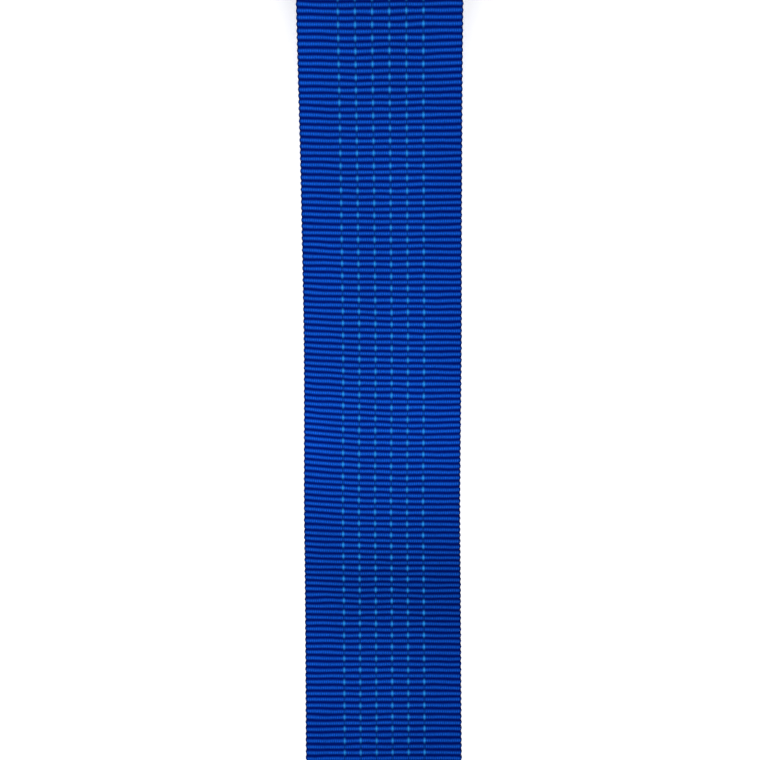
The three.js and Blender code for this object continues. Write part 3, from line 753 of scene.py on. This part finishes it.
def short_strap():
    """One length with a sewn loop at each end, round the anchor sleeve and the hook's bar."""
    flat = THICKNESS / 2
    hem_z = flat + THICKNESS
    bar_radius = SHORT_BAR.z - THICKNESS
    at_bolt = looped_end(BOLT, BOLT_LOOP, flat, hem_z, BOLT_NECK, SHORT_HEM, 1)
    at_hook = looped_end(SHORT_BAR, bar_radius, flat, hem_z, HOOK_NECK, SHORT_HEM, -1)
    path = spaced(at_bolt[::-1] + at_hook, RIB_PITCH / 6)
    piece, length = ribbon("short_strap_webbing", path, (0, 1, 0), [WEB_CLOSE], relief=RIB_DEPTH)
    settle(piece, "short_strap", "webbing", "short_strap")
    return length


def stitch(a, b, up):
    """One thread stitch from a to b, arched over the surface and diving in at both ends."""
    radius, sink = 0.24 * MM, 0.35 * MM
    a, b, up = np.array(a, float), np.array(b, float), np.array(up, float)
    points = []
    for t in np.linspace(0, 1, 7):
        arch = math.sin(math.pi * t) ** 0.5 if 0 < t < 1 else 0.0
        points.append(a + (b - a) * t + up * sink * (arch - 1))
    return sweep(points, radius, 8)


def sewn_line(corners, length, up, z):
    """Stitches of about the given length along straight lines."""
    parts = []
    for (x0, y0), (x1, y1) in zip(corners, corners[1:]):
        line = np.array([x1 - x0, y1 - y0])
        count = max(1, int(round(np.linalg.norm(line) / length)))
        for i in range(count):
            p = np.array([x0, y0]) + line * (i + 0.06) / count
            q = np.array([x0, y0]) + line * (i + 0.94) / count
            parts.append(stitch((*p, z), (*q, z), up))
    return parts


def boxed_cross(name, x0, x1, low, high, body):
    """The sewn pattern of a hem: a box with a cross in it, seen on both of its sides."""
    half = WIDTH / 2 - 3.2 * MM
    box = [(x0, -half), (x1, -half), (x1, half), (x0, half), (x0, -half)]
    parts = []
    for z, up in ((high + 0.1 * MM, (0, 0, 1)), (low + 0.22 * MM, (0, 0, -1))):
        for line in (box, [(x0, -half), (x1, half)], [(x0, half), (x1, -half)]):
            parts += sewn_line(line, STITCH, up, z)
    settle(mesh_object(name, *merged(parts), [THREAD]), body, "webbing")


def hem_stitches(top):
    """The sewn patterns of the three hems. top is the middle of the long strap's top layer."""
    neck = LONG_BAR.x - HOOK_NECK
    low, high = top - THICKNESS / 2, top + 1.5 * THICKNESS
    boxed_cross("long_hem_stitches", neck - LONG_SEAM_END, neck - SEAM_START, low, high, "frame")
    low, high = 0.0, 2 * THICKNESS
    neck = BOLT.x - BOLT_NECK
    ends = (neck - SHORT_SEAM_END, neck - SEAM_START)
    boxed_cross("bolt_hem_stitches", *ends, low, high, "short_strap")
    neck = SHORT_BAR.x + HOOK_NECK
    ends = (neck + SEAM_START, neck + SHORT_SEAM_END)
    boxed_cross("hook_hem_stitches", *ends, low, high, "short_strap")


def label():
    """A blank label, sewn along both of its ends to the short strap."""
    low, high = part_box("label_tag")
    width, curl = high.y - low.y, 0.25 * MM
    z = THICKNESS + 0.25 * MM
    path = []
    for share in np.linspace(-1, 1, 33):
        x = low.x + (high.x - low.x) * (share + 1) / 2
        path.append((x, 0.0, z + curl * abs(share) ** 6))
    piece, length = ribbon("blank_label", path, (0, 1, 0), [LABEL], width=width,
                           thickness=0.4 * MM, seals=(False, False))
    settle(piece, "short_strap", "label", "label_tag")
    inset = 1.8 * MM
    half = width / 2 - 1.2 * MM
    top = z + 0.28 * MM
    parts = []
    for x in (low.x + inset, high.x - inset):
        parts += sewn_line([(x, -half), (x, half)], 2.2 * MM, (0, 0, 1), top)
    settle(mesh_object("label_stitches", *merged(parts), [THREAD]), "short_strap", "label")


def hank_tie(node, name):
    """Hook-and-loop tape once round the hank, its end pressed down over its start."""
    low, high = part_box(node)
    thick, corner, lap = 0.9 * MM, 1.5 * MM, 7 * MM
    x, width = (low.x + high.x) / 2, high.x - low.x
    side = high.y - thick / 2 - 0.05 * MM
    top, bottom = high.z - 0.5 * MM, low.z + thick / 2
    corners = (
        (side, top, 90, 0),
        (side, bottom, 0, -90),
        (-side, bottom, -90, -180),
        (-side, top, 180, 90),
    )
    points = [(-lap, top)]
    for y, z, start, end in corners:
        centre_y = y - math.copysign(corner, y)
        centre_z = z - corner if z == top else z + corner
        for a in np.radians(np.linspace(start, end, 9)):
            points.append((centre_y + corner * math.cos(a), centre_z + corner * math.sin(a)))
    over = top + thick + 0.05 * MM
    last = points[-1]
    rise = smooth_join((last[0], 0, last[1]), (1, 0, 0), (0.5 * MM - lap, 0, over), (1, 0, 0), 12)
    points += [(y, z) for y, _, z in rise[1:]]
    points += [(lap, over), (lap + 2 * MM, over + 0.1 * MM), (lap + 3.5 * MM, over + 0.45 * MM)]
    path = spaced([(x, y, z) for y, z in points], 0.5 * MM)
    piece, length = ribbon(name, path, (-1, 0, 0), [PILE], width=width, thickness=thick,
                           seals=(False, False))
    settle(piece, "frame", "tie_tape", node)
    return length


# -------- wire parts


def hook_centreline():
    """Half of the hook, in mm, from the middle of its bar to the middle of its tip, facing +X."""
    bar_half, bend, spread, drop = 13.5, 4.5, 3.1, 1.65
    neck_end, jaw_x, jaw, tip = 30.0, 46.0, 12.5, 6.0
    points = [(0, y, 0) for y in np.linspace(0.15, bar_half, 14)]
    for a in np.radians(np.linspace(6, 90, 15)):
        points.append((bend * (1 - math.cos(a)), bar_half + bend * math.sin(a), 0))
    wide = bar_half + bend
    for t in np.linspace(0.03, 1, 32):
        s = eased(t)
        points.append((bend + (neck_end - bend) * t, wide + (spread - wide) * s, -drop * s))
    for x in np.linspace(neck_end + 1, jaw_x - 0.6, 14):
        points.append((x, spread, -drop))
    for a in np.linspace(0, math.pi, 40):
        points.append((jaw_x + jaw * math.sin(a), spread, -drop + jaw * (1 - math.cos(a))))
    for a in np.radians(np.linspace(0, 90, 16)):
        x = jaw_x - tip - spread * math.sin(a)
        points.append((x, spread * math.cos(a), -drop + 2 * jaw))
    return points


def softened(path, rounds):
    """The same path with its bends eased a little."""
    for _ in range(rounds):
        path[1:-1] = (path[:-2] + 2 * path[1:-1] + path[2:]) / 4
    return path


def wire_hook(name, bar, facing, body, node):
    """One bent wire, its jaw dipped in vinyl."""
    half = hook_centreline()
    whole = half + [(x, -y, z) for x, y, z in half[-2::-1]]
    whole = [(bar.x + facing * x * MM, y * MM, bar.z + z * MM) for x, y, z in whole]
    path = softened(spaced(whole, 0.7 * MM), 3)
    dip_start, dip_edge, dip_thickness = 36 * MM, 0.8 * MM, 0.4 * MM
    reach = facing * (path[:, 0] - bar.x)
    reach[path[:, 2] > bar.z + 5 * MM] = 2 * dip_start
    coat = np.clip((reach - dip_start) / dip_edge, 0, 1) * dip_thickness
    rise = (path[:, 2] - path[:, 2].min()) / np.ptp(path[:, 2])
    path[:, 2] += coat * (1 - 2 * rise)
    sides = 24
    points, faces = sweep(path, HOOK_WIRE + coat, sides)
    row = np.clip(np.arange(len(faces)) // sides - 3, 0, len(path) - 1)
    dipped = reach[row] > dip_start
    dipped[-2:] = False
    piece = mesh_object(name, points, faces, [WIRE, VINYL], dipped.astype(np.int32))
    return settle(piece, body, "hook_zinc", node)


def coil_spring(name, node, body):
    """A compression spring with closed end coils."""
    low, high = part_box(node)
    wire = 0.45 * MM
    mean = (high.y - low.y) / 2 - wire
    middle = (low.z + high.z) / 2
    start, end = low.x + 0.05 * MM, high.x - 0.05 * MM
    turns, points = 7.0, []
    for t in np.linspace(0, 1, int(turns * 28)):
        closed = 2.2 * wire / (end - start)
        share = np.interp(t * turns, [0, 1, turns - 1, turns], [0, closed, 1 - closed, 1])
        a = 2 * math.pi * turns * t
        x = start + wire + (end - start - 2 * wire) * share
        points.append((x, mean * math.cos(a), middle + mean * math.sin(a)))
    piece = mesh_object(name, *sweep(points, wire, 10), [SPRING_STEEL])
    settle(piece, body, "spring_steel", node)
    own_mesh(piece)


def cotter_pin(name, node):
    """A split pin of folded wire: an eye above, and its legs bent apart below."""
    low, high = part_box(node)
    y = (low.y + high.y) / 2
    wire, half = 0.46 * MM, 0.45 * MM
    eye, eye_z = 1.55 * MM, 9.25 * MM
    leg = [(-4.3, -9.5), (-3.2, -9.1), (-2.0, -8.5), (-1.1, -8.0), (-0.6, -7.4)]
    side = [(x * MM, z * MM) for x, z in leg]
    side += [(-half, z) for z in np.linspace(-6.6 * MM, 7.3 * MM, 12)]
    for a in np.radians(np.linspace(28, 180, 16)):
        side.append((-eye * math.sin(a), eye_z - eye * math.cos(a)))
    whole = side + [(-x, z) for x, z in side[-2::-1]]
    tilt_c, tilt_s = math.cos(SLOT_TILT), math.sin(SLOT_TILT)
    path = [(AXLE.x + x * tilt_c + z * tilt_s, y, AXLE.z - x * tilt_s + z * tilt_c) for x, z in whole]
    path = softened(spaced(path, 0.25 * MM), 4)
    piece = mesh_object(name, *sweep(path, wire, 12), [WIRE])
    settle(piece, "spool", "zinc", node)


# -------- turned and hexagonal parts


def hexagon(limit=HEXAGON):
    """Radius at each angle of the hexagon, held under a limit as a chamfer does."""
    flat = HEXAGON * math.cos(math.pi / 6)

    def radius(turn):
        inside = (turn + math.pi / 6) % (math.pi / 3) - math.pi / 6
        return np.minimum(flat / np.cos(inside), limit)

    return radius


def screw_thread(y):
    """Radius at each angle of the bolt's thread."""
    pitch, depth = 1 * MM, 0.45 * MM

    def radius(turn):
        phase = 2 * math.pi * y / pitch - turn
        return SCREW - depth * (0.5 - 0.5 * np.cos(phase))

    return radius


def anchor_bolt():
    """A hexagon bolt, its head domed by the chamfer and its end threaded."""
    low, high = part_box("anchor_bolt")
    head_in = low.y + 4 * MM
    rows = [(low.y, 0.4 * MM), (low.y, 4.3 * MM)]
    for t in np.linspace(0, 1, 7):
        rows.append((low.y + 0.75 * MM * t, hexagon((4.5 + 1.2 * t) * MM)))
    rows += [(head_in - 0.2 * MM, hexagon()), (head_in, hexagon(5.3 * MM))]
    rows += [(head_in, 3 * MM), (14 * MM, 3 * MM)]
    for y in np.arange(15 * MM, high.y - 0.5 * MM, 0.1 * MM):
        rows.append((y, screw_thread(y)))
    rows += [(high.y - 0.4 * MM, 2.6 * MM), (high.y, 2.2 * MM), (high.y, 0.3 * MM)]
    piece = outward(mesh_object("hex_bolt", *turned(rows, BOLT, 96), [FASTENER]))
    settle(piece, "frame", "bolt_steel", "anchor_bolt")


def anchor_nut():
    """A lock nut: chamfered hexagon, a collar, and the nylon ring in it."""
    low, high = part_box("anchor_nut")
    bore = 3.12 * MM
    collar = high.y - 1.1 * MM
    rows = [(low.y, bore), (low.y, hexagon(4.9 * MM)), (low.y + 0.5 * MM, hexagon())]
    rows += [(collar - 0.6 * MM, hexagon()), (collar, hexagon(4.75 * MM))]
    rows += [(collar, 4.45 * MM), (high.y - 0.3 * MM, 4.4 * MM), (high.y, 4.1 * MM)]
    rows += [(high.y, 3.85 * MM), (collar, 3.75 * MM), (collar, bore)]
    piece = outward(mesh_object("lock_nut", *turned(rows, BOLT, 96, True), [FASTENER]))
    settle(piece, "frame", "bolt_steel", "anchor_nut")
    ring = [(collar + 0.05 * MM, 3.14 * MM), (collar + 0.05 * MM, 3.7 * MM)]
    ring += [(high.y - 0.25 * MM, 3.7 * MM), (high.y - 0.15 * MM, 3.45 * MM)]
    ring += [(high.y - 0.3 * MM, 3.14 * MM)]
    insert = outward(mesh_object("lock_nut_insert", *turned(ring, BOLT, 64, True), [NYLON]))
    settle(insert, "frame", "bolt_steel")


def ring_part(name, node, centre, inner, outer, body, slot, material):
    """A washer or sleeve with rounded edges."""
    low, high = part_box(node)
    r = min(0.3 * MM, (high.y - low.y) / 4, (outer - inner) / 4)
    left, right = low.y + r, high.y - r
    near, far = inner + r, outer - r
    rows = []
    for k, (y, radius) in enumerate(((left, near), (left, far), (right, far), (right, near))):
        for a in np.radians(90 * k + np.linspace(0, 90, 4)):
            rows.append((y - r * math.sin(a), radius - r * math.cos(a)))
    piece = outward(mesh_object(name, *turned(rows, centre, 96, True), [material]))
    settle(piece, body, slot, node)


def grip_rivet(name, node):
    """A domed rivet with a rolled rim."""
    low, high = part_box(node)
    outer = high.y if high.y > 0 else low.y
    way = math.copysign(1, outer)
    inner = low.y if high.y > 0 else high.y
    centre = Vector(((low.x + high.x) / 2, 0, (low.z + high.z) / 2))
    base = outer - way * 1.4 * MM
    shank = 2 * MM
    rows = [(inner, 0.2 * MM), (inner, shank - 0.2 * MM), (inner + way * 0.2 * MM, shank)]
    rows += [(base, shank), (base, 3.4 * MM)]
    rim = [(0.1, 3.55), (0.3, 3.6), (0.55, 3.5), (0.72, 3.25), (0.70, 3.0), (0.78, 2.8)]
    rows += [(base + way * y * MM, r * MM) for y, r in rim]
    for a in np.radians(np.linspace(15, 85, 9)):
        rows.append((base + way * (0.75 + 0.62 * math.sin(a)) * MM, 2.75 * MM * math.cos(a)))
    piece = outward(mesh_object(name, *turned(rows, centre, 72), [ZINC]))
    settle(piece, "handle", "zinc", node)


# -------- plates, pawls and grip


def fold_at(side, height):
    """Tells whether a point is on one of a bent plate's two folds."""
    near = 0.05 * MM

    def on_fold(place):
        return abs(abs(place.y) - side) < near and abs(place.z - height) < near

    return on_fold


def bent_plates():
    """The base frame is folded along its floor edges, and the handle along its top edges."""
    low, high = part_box("base_frame")
    folds = fold_at(high.y, low.z)
    piece = refined("base_frame", "frame_plates", PLATE_EDGE, ZINC, folds, 1.1 * MM)
    settle(piece, "frame", "zinc", "base_frame")

    _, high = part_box("handle_frame")
    folds = fold_at(high.y, high.z)
    piece = refined("handle_frame", "handle_plates", PLATE_EDGE, ZINC, folds, 1.2 * MM)
    settle(piece, "handle", "zinc", "handle_frame")


def solid_steel():
    """The mandrel's halves, the toothed wheels and the pawls, each with the width of its bevels."""
    parts = (
        ("mandrel_half_upper", "mandrel_upper", 0.35, TURNED, "spool", "zinc"),
        ("mandrel_half_lower", "mandrel_lower", 0.35, TURNED, "spool", "zinc"),
        ("ratchet_wheel_left", "toothed_wheel_left", 0.16, YELLOW, "spool", "wheel_steel"),
        ("ratchet_wheel_right", "toothed_wheel_right", 0.16, YELLOW, "spool", "wheel_steel"),
        ("drive_pawl", "drive_pawl_plate", 0.35, YELLOW, "drive_pawl", "wheel_steel"),
        ("lock_pawl", "lock_pawl_plate", 0.35, YELLOW, "lock_pawl", "wheel_steel"),
    )
    for node, name, width, material, body, slot in parts:
        settle(refined(node, name, width * MM, material), body, slot, node)


def grip_ridges(low, high):
    """Raised ridges that run over the top of the grip and a little way down its sides."""
    corner, proud = 4 * MM, 0.35 * MM
    parts = []
    for x in np.linspace(low.x + 6.5 * MM, high.x - 6 * MM, 6):
        points = [(x, -high.y + proud, high.z - 6.2 * MM)]
        for a in np.radians(np.linspace(180, 90, 8)):
            r = corner - proud
            points.append((x, -high.y + corner + r * math.cos(a), high.z - corner + r * math.sin(a)))
        points += [(x, -y, z) for x, y, z in points[::-1]]
        parts.append(sweep(spaced(points, 1.2 * MM), 0.95 * MM, 12))
    return merged(parts)


def grip():
    """The moulded grip and the ridges on it."""
    low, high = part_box("handle_grip")
    body = refined("handle_grip", "grip_body", 0.7 * MM, RUBBER)
    settle(body, "handle", "grip_rubber", "handle_grip")
    piece = mesh_object("grip_ridges", *grip_ridges(low, high), [RUBBER])
    settle(piece, "handle", "grip_rubber")


# -------- light, floor and camera


def floor():
    """A wide, pale floor just under the webbing, which the camera's view doesn't reach beyond."""
    n = Nodes("studio_floor")
    speckle = n.noise(30, 3.0)
    tone = n.mix(speckle, (0.87, 0.87, 0.87, 1), (0.89, 0.89, 0.89, 1))
    material = n.finish(Base_Color=tone, Roughness=0.9, Specular_IOR_Level=0.1,
                        Emission_Color=(1, 1, 1, 1), Emission_Strength=0.35)
    size, drop = 12.0, 0.05 * MM
    corners = [(-size, -size, -drop), (size, -size, -drop), (size, size, -drop), (-size, size, -drop)]
    mesh_object("floor", corners, [(0, 1, 2, 3)], [material], smooth=False)


def softbox(name, place, power):
    """A large square light, aimed at the ratchet's end of the run."""
    target, size = Vector((0.1, 0, 0)), 2.0
    light = bpy.data.lights.new(name, "AREA")
    light.shape, light.size, light.energy = "SQUARE", size, power
    lamp = bpy.data.objects.new(name, light)
    bpy.context.collection.objects.link(lamp)
    lamp.location = place
    lamp.rotation_euler = (target - Vector(place)).to_track_quat("-Z", "Y").to_euler()


def lighting():
    """A white sky, a little darker below, and two softboxes."""
    world = bpy.data.worlds.new("studio")
    world.use_nodes = True
    tree = world.node_tree
    shade = tree.nodes["Background"]
    up = tree.nodes.new("ShaderNodeSeparateXYZ")
    coords = tree.nodes.new("ShaderNodeTexCoord")
    ramp = tree.nodes.new("ShaderNodeValToRGB")
    tree.links.new(coords.outputs["Generated"], up.inputs[0])
    tree.links.new(up.outputs[2], ramp.inputs[0])
    tree.links.new(ramp.outputs[0], shade.inputs[0])
    ramp.color_ramp.elements[0].color = (0.42, 0.43, 0.45, 1)
    ramp.color_ramp.elements[1].color = (1, 1, 1, 1)
    shade.inputs[1].default_value = 0.95
    bpy.context.scene.world = world
    softbox("key", (-1.0, -0.35, 1.1), 21)
    softbox("fill", (1.2, 0.5, 1.0), 14)


def camera():
    """Straight down on the webbing between the ratchet and the hank, the ratchet's side up."""
    lens = bpy.data.cameras.new("camera")
    lens.sensor_width, lens.lens = 36, CAMERA_LENS
    lens.clip_start = 0.01
    eye = bpy.data.objects.new("camera", lens)
    bpy.context.collection.objects.link(eye)
    eye.location = CAMERA_PLACE
    eye.rotation_euler = (0, 0, math.radians(90 + CAMERA_ROLL))
    bpy.context.scene.camera = eye
    bpy.context.scene.view_settings.view_transform = "Standard"


# -------- assembly


def main():
    """Makes the camera, lights and floor, then every piece."""
    camera()
    lighting()
    floor()
    run_length = long_strap()
    spare_length, top = long_strap_spare()
    short_length = short_strap()
    hem_stitches(top)
    label()
    near = hank_tie("hank_tie_near", "tie_near")
    far = hank_tie("hank_tie_far", "tie_far")
    wire_hook("hook_long", LONG_BAR, 1, "long_hook", "long_hook")
    wire_hook("hook_short", SHORT_BAR, -1, "short_hook", "short_hook")
    coil_spring("lock_coil", "lock_spring", "frame")
    coil_spring("drive_coil", "drive_spring", "handle")
    for side in ("left", "right"):
        cotter_pin(f"split_pin_{side}", f"cotter_pin_{side}")
        ring_part(f"washer_{side}", f"spool_washer_{side}", AXLE, WASHER_BORE, WASHER_RIM,
                  "spool", "zinc", ZINC)
        grip_rivet(f"rivet_{side}", f"grip_rivet_{side}")
    ring_part("sleeve", "anchor_sleeve", BOLT, SLEEVE_BORE, SLEEVE_RIM, "frame", "zinc", TURNED)
    anchor_bolt()
    anchor_nut()
    bent_plates()
    solid_steel()
    grip()
    print("webbing lengths in metres:", run_length, spare_length, short_length, "ties:", near, far)


main()
